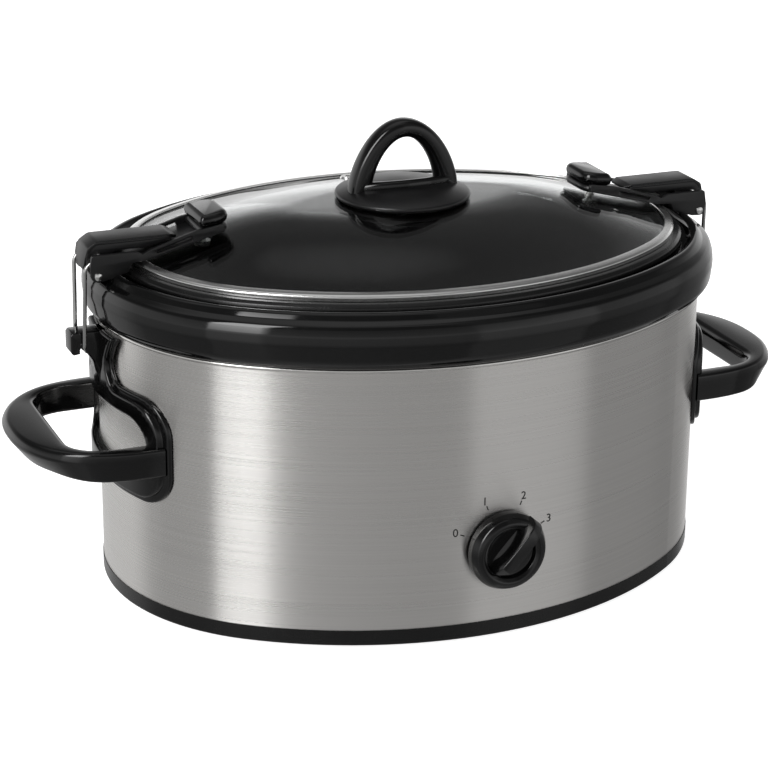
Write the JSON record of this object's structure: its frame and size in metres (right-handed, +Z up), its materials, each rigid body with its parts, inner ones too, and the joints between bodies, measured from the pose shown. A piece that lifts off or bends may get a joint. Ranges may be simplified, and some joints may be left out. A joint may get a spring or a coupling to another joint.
{
  "type": "slow cooker",
  "caption": "Oval slow cooker: brushed steel housing, lift-out black crock, clear lid with arched handle, end latches with wire bails, loop handles and a front dial.",
  "frame": {"origin": "on the surface it stands on, under the middle of the oval body", "axes": "+X along the long axis to the right handle, +Y to the back, +Z up; the dial faces -Y"},
  "size_m": [0.456, 0.298, 0.2532],
  "materials": {
    "steel": "brushed round the body",
    "trim_steel": "polished",
    "base_plastic": "satin",
    "rubber": "matte",
    "screw_steel": "zinc plated",
    "liner": "plain",
    "heater": "foil over mica",
    "fibre": "woven glass fibre",
    "fuse": "plain",
    "block": "plain",
    "lead": "silicone sleeve",
    "switch": "plain",
    "bracket": "plain",
    "brass": "plain",
    "gland": "satin",
    "ink": "printed",
    "black_gloss": "glossy",
    "stoneware": "glossy glaze",
    "glass": "clear",
    "lid_steel": "polished",
    "silicone": "satin",
    "clear_silicone": "translucent",
    "black_satin": "satin",
    "pin_steel": "polished",
    "wire_steel": "polished"
  },
  "bodies": {
    "housing": {"outer_wrap": "steel", "top_trim_ring": "trim_steel", "base_pan": "base_plastic", "foot_1": "rubber", "foot_2": "rubber", "foot_3": "rubber", "foot_4": "rubber", "base_screws": "screw_steel", "inner_liner": "liner", "heating_band": "heater", "insulation_band": "fibre", "band_clamp": "screw_steel", "thermal_fuse": "fuse", "terminal_block": "block", "wiring_harness": "lead", "rotary_switch": "switch", "switch_bracket": "bracket", "switch_nut": "brass", "cord_gland": "gland", "gland_sleeve": "gland", "dial_marks": "ink", "left_handle": "black_gloss", "right_handle": "black_gloss", "left_handle_screws": "screw_steel", "right_handle_screws": "screw_steel"},
    "crock": {"crock": "stoneware"},
    "lid": {"lid_glass": "glass", "lid_rim": "lid_steel", "lid_gasket": "silicone", "lid_knob_base": "black_satin", "lid_knob_arch": "black_gloss", "lid_knob_screw": "screw_steel", "lid_knob_washer": "clear_silicone", "steam_vent": "lid_steel", "left_latch_arm": "black_satin", "right_latch_arm": "black_satin", "left_latch_cap": "black_gloss", "right_latch_cap": "black_gloss", "left_latch_screw": "screw_steel", "right_latch_screw": "screw_steel", "left_hinge_pin": "pin_steel", "right_hinge_pin": "pin_steel"},
    "left_lever": {"left_lever": "black_satin"},
    "right_lever": {"right_lever": "black_satin"},
    "left_bail": {"left_bail": "wire_steel"},
    "right_bail": {"right_bail": "wire_steel"},
    "dial": {"control_knob": "black_gloss", "knob_shaft": "pin_steel", "knob_spring": "brass"}
  },
  "joints": [
    {"name": "crock_lift", "type": "slide", "parent": "housing", "child": "crock", "axis": [0, 0, 1], "range_m": [0, 0.18]},
    {"name": "lid_lift", "type": "slide", "parent": "crock", "child": "lid", "axis": [0, 0, 1], "range_m": [0, 0.12]},
    {"name": "left_lever_open", "type": "hinge", "parent": "lid", "child": "left_lever", "pos_m": [-0.1785, 0, 0.187], "axis": [0, -1, 0], "range_deg": [0, 75]},
    {"name": "right_lever_open", "type": "hinge", "parent": "lid", "child": "right_lever", "pos_m": [0.1785, 0, 0.187], "axis": [0, 1, 0], "range_deg": [0, 75]},
    {"name": "left_bail_swing", "type": "hinge", "parent": "left_lever", "child": "left_bail", "pos_m": [-0.1765, 0, 0.1975], "axis": [0, -1, 0], "range_deg": [-61, 0]},
    {"name": "right_bail_swing", "type": "hinge", "parent": "right_lever", "child": "right_bail", "pos_m": [0.1765, 0, 0.1975], "axis": [0, 1, 0], "range_deg": [-61, 0]},
    {"name": "dial_turn", "type": "hinge", "parent": "housing", "child": "dial", "pos_m": [0.0045, -0.133, 0.0525], "axis": [0, 1, 0], "range_deg": [-109.5, 25.5]}
  ],
  "couplings": [
    {"joint": "left_bail_swing", "follows": "left_lever_open", "ratio": -0.81},
    {"joint": "right_bail_swing", "follows": "right_lever_open", "ratio": -0.81}
  ]
}
